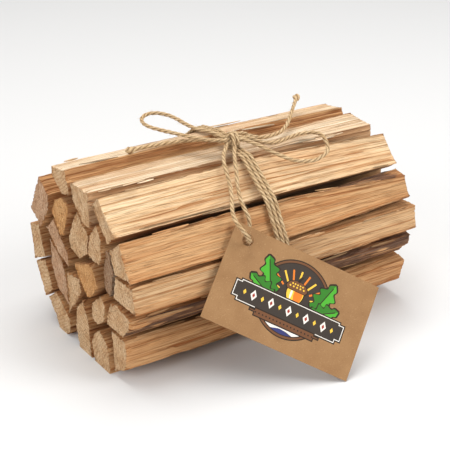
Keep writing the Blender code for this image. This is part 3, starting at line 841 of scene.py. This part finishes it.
def twine_shape(line, seed, swell=0.0):
    """Plied twine along a line in millimetres: points, faces, and where each point lies on the plies."""
    along, side, other = side_directions(line)
    run = np.concatenate([[0.0], np.cumsum(np.linalg.norm(np.diff(line, axis=0), axis=1))])
    angle = np.linspace(0.0, math.tau, TWINE_SIDES, endpoint=False)
    turn = angle[None, :] + math.tau * run[:, None] / PLY_PITCH
    lobe = np.abs(np.cos(turn * PLIES / 2.0))
    uneven = smooth_noise(seed, run / 6.0, np.full(len(run), 0.5))[:, None]
    hairy = smooth_noise(seed + 1, run[:, None] / 1.3 + 0.0 * turn, (turn % math.tau) * 5.0)
    plied = 1.0 - PLY_GROOVE * (1.0 - lobe ** 0.8)
    radius = TWINE_DIAMETER / 2.0 * plied * (0.97 + 0.06 * uneven + 0.035 * hairy)
    if swell:
        from_middle = (run - run[-1]) / END_KNOT_HALF + 1.0
        rounded = np.sqrt(1.0 - 0.9 * np.clip(from_middle, 0.0, 1.0) ** 2)
        radius = radius * (rounded * (1.0 + swell * np.exp(-from_middle ** 2)))[:, None]
    points = (line[:, None, :] + side[:, None, :] * (radius * np.cos(angle))[:, :, None]
              + other[:, None, :] * (radius * np.sin(angle))[:, :, None])
    points = points.reshape(-1, 3)
    rings = len(line)
    faces = []
    for i in range(rings - 1):
        ring, following = i * TWINE_SIDES, (i + 1) * TWINE_SIDES
        for j in range(TWINE_SIDES):
            k = (j + 1) % TWINE_SIDES
            faces.append((ring + j, ring + k, following + k, following + j))
    points = np.concatenate([points, [line[0] - along[0] * 0.4], [line[-1] + along[-1] * 0.4]])
    first_tip, last_ring = rings * TWINE_SIDES, (rings - 1) * TWINE_SIDES
    for j in range(TWINE_SIDES):
        k = (j + 1) % TWINE_SIDES
        faces.append((first_tip, k, j))
        faces.append((first_tip + 1, last_ring + j, last_ring + k))
    lay = np.stack([run[:, None] + 0.0 * turn, turn, lobe], axis=2).reshape(-1, 3)
    lay = np.concatenate([lay, [[0.0, 0.0, 0.5]], [[run[-1], 0.0, 0.5]]])
    return points, faces, lay


def make_twine(name, lines, seed, material, swell=0.0):
    """One piece of plied twine from one or more lines."""
    all_points, all_faces, all_lay = [], [], []
    base = 0
    for k, line in enumerate(lines):
        points, faces, lay = twine_shape(line, seed + 10 * k, swell)
        all_faces += [tuple(i + base for i in face) for face in faces]
        all_points.append(points)
        all_lay.append(lay)
        base += len(points)
    piece = make_piece(name, np.concatenate(all_points), all_faces, [material])
    shade_smooth(piece)
    set_attribute(piece, "lay", "FLOAT_VECTOR", np.concatenate(all_lay))
    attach(piece, "root")
    return piece


def make_fuzz(name, lines, per_millimetre, seed, material):
    """Loose fibres that stand out from the twine: thin tapered hairs."""
    rng = np.random.default_rng(seed)
    points, faces = [], []
    for line in lines:
        along, side, other = side_directions(line)
        length = np.linalg.norm(np.diff(line, axis=0), axis=1).sum()
        for _ in range(round(length * per_millimetre)):
            i = rng.integers(1, len(line) - 1)
            angle = rng.uniform(0.0, math.tau)
            out = side[i] * math.cos(angle) + other[i] * math.sin(angle)
            reach = rng.uniform(*HAIR_REACHES)
            lean = along[i] * rng.choice([-1.0, 1.0]) * rng.uniform(0.3, 1.6)
            bend = np.cross(out, along[i]) * rng.uniform(-0.8, 0.8)
            start = line[i] + out * TWINE_DIAMETER * 0.36
            hair = [start + (out * 0.62 * t + lean * t + bend * t * t) * reach * 0.8
                    for t in (*HAIR_STEPS, 1.0)]
            across = np.cross(out, lean + out)
            across /= np.linalg.norm(across) + 1e-9
            base = len(points)
            for t, p in zip(HAIR_STEPS, hair):
                wide = 0.065 * (1.0 - 0.6 * t)
                points += [p + across * wide, p - across * wide * 0.5 + out * wide * 0.8,
                           p - across * wide * 0.5 - out * wide * 0.8]
            points.append(hair[-1])
            for k in (0, 3):
                for j in range(3):
                    n = (j + 1) % 3
                    faces.append((base + k + j, base + k + n, base + k + 3 + n, base + k + 3 + j))
            for j in range(3):
                faces.append((base + 6 + j, base + 6 + (j + 1) % 3, base + 9))
            faces.append((base + 2, base + 1, base))
    points = np.array(points)
    points[:, 2] = np.clip(points[:, 2], 0.02, cad_high.z / MM)
    piece = make_piece(name, points, faces, [material])
    lay = np.column_stack([points[:, 0], points[:, 1], np.ones(len(points))])
    set_attribute(piece, "lay", "FLOAT_VECTOR", lay)
    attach(piece, "root")
    return piece


def wrap_line():
    """The whole winding round the sticks, turns side by side, starting and ending under the knot."""
    hull = bundle_hull()
    reach = TWINE_DIAMETER / 2.0 + TOUCHING_GAP
    turn = []
    for i, corner in enumerate(hull):
        here = Vector(corner)
        before = here - Vector(hull[i - 1])
        after = Vector(hull[(i + 1) % len(hull)]) - here
        start = math.atan2(-before.x, before.y)
        sweep = (math.atan2(-after.x, after.y) - start) % math.tau
        steps = max(1, round(math.degrees(sweep) / 9.0))
        for k in range(steps + 1):
            angle = start + sweep * k / steps
            turn.append(here + Vector((math.cos(angle), math.sin(angle))) * reach)
    top = [i for i, p in enumerate(turn) if p.y > 100.0 and p.x < WRAP_START_Y]
    first = max(top, key=lambda i: turn[i].x)
    share = (WRAP_START_Y - turn[first].x) / (turn[first - 1].x - turn[first].x)
    turn = [turn[first].lerp(turn[first - 1], share)] + turn[first:] + turn[:first]
    flat = np.array([tuple(p) for p in turn + turn[:1]])
    run = np.concatenate([[0.0], np.cumsum(np.linalg.norm(np.diff(flat, axis=0), axis=1))])
    start_x = WRAP_MIDDLE_X - WRAP_PITCH * WRAP_TURNS / 2.0
    laps = []
    for lap in range(WRAP_TURNS):
        x = start_x + WRAP_PITCH * (lap + run / run[-1])
        laps.append(np.column_stack([x, flat])[:-1 if lap < WRAP_TURNS - 1 else None])
    return even_points(np.concatenate(laps), TWINE_STEP)


def make_cords(jute, hair):
    """The bow's loops, the loose ends and the tag's string."""
    for seed, (name, route) in enumerate(CORD_ROUTES.items(), start=1):
        in_mm = [tuple(v / MM for v in p) for p in route]
        line = smooth_route(in_mm, TWINE_STEP)
        piece = make_twine(name + "_strands", [line], 40 * seed, jute, END_KNOT_SWELL.get(name, 0.0))
        fuzz = make_fuzz(name + "_fuzz", [line], HAIRS_ON_CORD, 40 * seed + 7, hair)
        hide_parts(name)


def make_knot(jute, hair):
    """The knot: short strands that cross over and under one another."""
    x, y, z = KNOT_CENTRE
    strands = [[(x + dx, y + dy, z + dz) for dx, dy, dz in strand] for strand in KNOT_STRANDS]
    for route in CORD_ROUTES.values():
        for end, inner in ((route[0], route[1]), (route[-1], route[-2])):
            end, inner = Vector(end) / MM, Vector(inner) / MM
            if (end - Vector(KNOT_CENTRE)).length < KNOT_REACH:
                away = (end - inner).normalized()
                strands.append([end, end + away * 2.5, Vector((x, y, z + 0.6)).lerp(end, 0.25)])
    lines = [smooth_route(strand, TWINE_STEP) for strand in strands]
    piece = make_twine("knot_strands", lines, 700, jute)
    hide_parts("knot")
    make_fuzz("knot_fuzz", lines, HAIRS_ON_KNOT, 707, hair)


def tag_frame():
    """The tag's long direction, its short direction, and the way it faces."""
    along = Vector(TAG_ALONG).normalized()
    up = Vector(TAG_UP)
    up = (up - along * up.dot(along)).normalized()
    return along, up, along.cross(up)


def circle(centre, radius, sides=72):
    return [(centre[0] + radius * math.cos(math.tau * k / sides),
             centre[1] + radius * math.sin(math.tau * k / sides)) for k in range(sides)]


def placed(points, place, turn=0.0, scale=1.0):
    """Flat points turned, scaled and moved to a place on the card."""
    c, s = math.cos(turn) * scale, math.sin(turn) * scale
    return [(place[0] + c * x - s * y, place[1] + s * x + c * y) for x, y in points]


def leaf_outline(length, width, grow=0.0):
    """An oak leaf along +x from its stalk, with round lobes; grow widens it all round."""
    steps = 44
    upper = []
    for k in range(steps + 1):
        t = k / steps
        lobes = 1.0 + 0.30 * math.cos(math.tau * 4.0 * t + 2.4)
        half = width / 2.0 * math.sin(math.pi * t ** 0.8) ** 0.75 * lobes
        upper.append((t * (length + 2.0 * grow) - grow, half + grow))
    return upper + [(x, -y) for x, y in reversed(upper)]


def turns_left(outline):
    """Whether an outline runs anticlockwise."""
    x, y = np.array(outline).T
    return float((x * np.roll(y, -1) - y * np.roll(x, -1)).sum()) > 0.0


def stroke(points, width):
    """A flat line of even width along a few points."""
    line = np.array(points, float)
    along = np.gradient(line, axis=0)
    along /= np.linalg.norm(along, axis=1)[:, None]
    side = np.column_stack([-along[:, 1], along[:, 0]]) * width / 2.0
    return [tuple(p) for p in np.concatenate([line + side, (line - side)[::-1]])]


def wave_band(left, right, low, high, swing):
    """A band between two wavy lines."""
    steps = 40
    xs = [left + (right - left) * k / steps for k in range(steps + 1)]
    lower = [(x, low + swing * math.sin(x * 0.42)) for x in xs]
    upper = [(x, high + swing * math.sin(x * 0.42 + 0.9)) for x in xs]
    return lower + upper[::-1]


def emblem_shapes():
    """The printed emblem: an acorn and oak leaves over a ribbon, in a round badge.

    Flat shapes, later ones over earlier ones, each with its ink; an inner shape
    shows only inside the badge's disc. Sizes are in millimetres on the card.
    """
    x, y = EMBLEM_MIDDLE
    shapes = []

    def add(outline, ink, inner=False):
        shapes.append((outline, ink, inner))

    for grow, ink in ((2.4, "black"), (1.7, "brown"), (0.5, "black"), (0.0, "charcoal")):
        add(circle((x, y), BADGE_RADIUS + grow), ink)
    for k, ink in enumerate(("navy", "cream", "rust", "cream", "navy")):
        top = y - 9.5 - 2.4 * k
        add(wave_band(x - 24.0, x + 24.0, top - 2.6, top, 0.7), ink, True)
    for k in range(9):
        angle = math.pi * (0.1 + 0.1 * k)
        ray = [(x + r * math.cos(angle), y + r * math.sin(angle)) for r in (10.5, 13.5, 17.5)]
        add(stroke(ray, 1.1), "orange" if k % 2 else "gold", True)
    for side in (-1.0, 1.0):
        for turn, length, width, dx, dy in ((68.0, 23.0, 10.5, 13.5, -3.0), (28.0, 19.0, 9.0, 12.0, -4.5)):
            angle = math.radians(turn if side > 0.0 else 180.0 - turn)
            place = (x + side * dx, y + dy)
            leaf = leaf_outline(length, width)
            half = [(px, py * side) for px, py in leaf if py >= 0.0] + [(0.0, 0.0)]
            vein = stroke([(0.0, 0.0), (length * 0.5, 0.0), (length * 0.9, 0.0)], 0.6)
            add(placed(leaf_outline(length, width, 0.8), place, angle), "black")
            add(placed(leaf, place, angle), "green")
            add(placed(half, place, angle), "leaf_shade")
            add(placed(vein, place, angle), "black")
    nut = []
    for t in np.linspace(-math.pi, math.pi, 49)[:-1]:
        tip = 1.2 if abs(t) < 0.1 else 0.0
        nut.append((5.2 * math.sin(t) * (1.0 - 0.18 * math.cos(t)), 6.2 * -math.cos(t) - tip))
    add(placed(nut, (x, y + 3.0), 0.0, 1.14), "black")
    add(placed(nut, (x, y + 3.0)), "gold")
    add(placed([(px * 0.52 + 2.0, py * 0.85) for px, py in nut], (x, y + 3.0)), "orange")
    add(placed([(px * 0.13 - 2.3, py * 0.45) for px, py in nut], (x, y + 2.6)), "cream")
    cap = [(6.6 * math.cos(t), 4.4 * math.sin(t)) for t in np.linspace(0.0, math.pi, 24)]
    cap += [(-5.6, -1.3), (5.6, -1.3)]
    add(placed(cap, (x, y + 6.6), 0.0, 1.12), "black")
    add(placed(cap, (x, y + 6.8)), "brown")
    for k in range(5):
        add(circle((x - 4.4 + 2.2 * k, y + 7.6), 0.55, 12), "gold")
        add(circle((x - 3.3 + 2.2 * k * 0.75, y + 9.2), 0.5, 12), "gold")
    add(stroke([(x, y + 10.8), (x + 0.3, y + 12.6), (x + 1.4, y + 14.4)], 1.6), "black")
    for grow, ink in ((1.5, "black"), (0.75, "cream"), (0.3, "charcoal")):
        add(ribbon_outline((x, y - 7.0), 34.5, 5.4, grow), ink)
    diamond = [(2.0, 0.0), (0.0, 3.3), (-2.0, 0.0), (0.0, -3.3)]
    for k in range(-5, 6):
        place = (x + 5.7 * k, y - 7.0)
        if k % 2 == 0:
            add(placed(diamond, place), "cream")
            add(placed(diamond, place, 0.0, 0.45), "rust")
        else:
            add(placed(diamond, place, 0.0, 0.5), "gold")
    for grow, ink in ((0.9, "black"), (0.2, "brown")):
        add(ribbon_outline((x, y - 15.2), 22.0, 1.7, grow), ink)
    for k in range(-8, 9):
        add(circle((x + 2.3 * k, y - 15.2), 0.5, 10), "black")
    return shapes


def ribbon_outline(middle, half_length, half_height, grow):
    """A straight ribbon with stepped ends, wider by grow all round."""
    x, y = middle
    a, h = half_length + grow, half_height + grow
    step = 3.2
    right = [(x + a - step, y - h), (x + a - step, y - h + 2.0), (x + a, y - h + 2.0), (x + a, y + h - 1.2),
             (x + a - step, y + h - 1.2), (x + a - step, y + h)]
    return right + [(2.0 * x - px, py) for px, py in reversed(right)]


def make_tag(card, inks):
    """A thin kraft card with a hole, its front divided into the emblem's printed areas."""
    rim = [(0.0, 0.0), (TAG_LENGTH, 0.0), (TAG_LENGTH, TAG_HEIGHT), (0.0, TAG_HEIGHT)]
    shapes = [(rim, "card", False), (circle(TAG_HOLE, TAG_HOLE_RADIUS, 48), None, False)] + emblem_shapes()
    slots_of = {"card": 0, **{name: k for k, name in enumerate(inks, start=1)}}
    disc = 2 + BADGE_DISC
    verts, outlines = [], []
    for outline, _, _ in shapes:
        corners = list(range(len(verts), len(verts) + len(outline)))
        outlines.append(corners if turns_left(outline) else corners[::-1])
        verts += [Vector(p) for p in outline]
    flat, _, triangles, _, _, origin = delaunay_2d_cdt(verts, [], outlines, 0, 1e-4)
    faces, slots = [], []
    for triangle, sources in zip(triangles, origin):
        if sources and 1 not in sources:
            top = max(k for k in sources if disc in sources or not shapes[k][2])
            faces.append(tuple(triangle))
            slots.append(slots_of[shapes[top][1]])
    count = len(flat)
    edges = {edge for a, b, c in faces for edge in ((a, b), (b, c), (c, a))}
    border = [(a, b) for a, b in edges if (b, a) not in edges]
    back = [tuple(i + count for i in face[::-1]) for face in faces]
    sides = [(b, a, a + count, b + count) for a, b in sorted(border)]
    along, up, facing = tag_frame()
    points = np.array([tuple(along * (p.x - TAG_LENGTH) + up * p.y + facing * depth)
                       for depth in (0.0, -TAG_THICKNESS) for p in flat])
    points += np.array([*TAG_LOW_CORNER, -points[:, 2].min()])
    tag = make_piece("printed_tag", points, faces + back + sides, [card, *inks.values()],
                     slots + [0] * (len(back) + len(sides)))
    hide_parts("tag")
    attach(tag, "root")


def make_floor():
    size = 4.0
    data = bpy.data.meshes.new("floor")
    corners = [(-size, -size, 0), (size, -size, 0), (size, size, 0), (-size, size, 0)]
    data.from_pydata(corners, [], [(0, 1, 2, 3)])
    floor = bpy.data.objects.new("floor", data)
    bpy.context.scene.collection.objects.link(floor)
    r = Recipe("floor", 0.9)
    r.shader.inputs["Base Color"].default_value = (FLOOR_SHADE, FLOOR_SHADE, FLOOR_SHADE, 1.0)
    data.materials.append(r.material)


def make_lamp(name, place, size, power, colour):
    """A soft square lamp at place, in metres, aimed at the bundle."""
    data = bpy.data.lights.new(name, "AREA")
    data.shape = "SQUARE"
    data.size = size
    data.energy = power
    data.color = colour
    lamp = bpy.data.objects.new(name, data)
    lamp.location = place
    lamp.rotation_euler = (Vector(LAMP_TARGET) - Vector(place)).to_track_quat("-Z", "Y").to_euler()
    bpy.context.scene.collection.objects.link(lamp)


def make_studio():
    scene = bpy.context.scene
    scene.view_settings.view_transform = "Standard"
    world = bpy.data.worlds.new("studio")
    world.use_nodes = True
    world.node_tree.nodes["Background"].inputs["Color"].default_value = (1.0, 1.0, 1.0, 1.0)
    world.node_tree.nodes["Background"].inputs["Strength"].default_value = SKY_STRENGTH
    scene.world = world
    for name, settings in LAMPS.items():
        make_lamp(name, *settings)


def build():
    make_camera()
    jute = twine_material("jute", *JUTE_TONES)
    hair = twine_material("jute_hair", *HAIR_TONES)
    make_cords(jute, hair)
    woods = [wood_side_material(), wood_end_material()]
    for seed, name in enumerate(STICKS, start=1):
        make_stick(name, seed, woods)
    wraps = wrap_line()
    wound = make_twine("wound_strands", [wraps], 600, jute)
    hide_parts("twine_wraps")
    make_fuzz("wound_fuzz", [wraps], HAIRS_ON_WINDING, 607, hair)
    make_knot(jute, hair)
    make_splinters(woods[0])
    card = card_material("kraft_card")
    make_tag(card, {name: card_material("ink_" + name, ink) for name, ink in INKS.items()})
    make_floor()
    make_studio()


build()
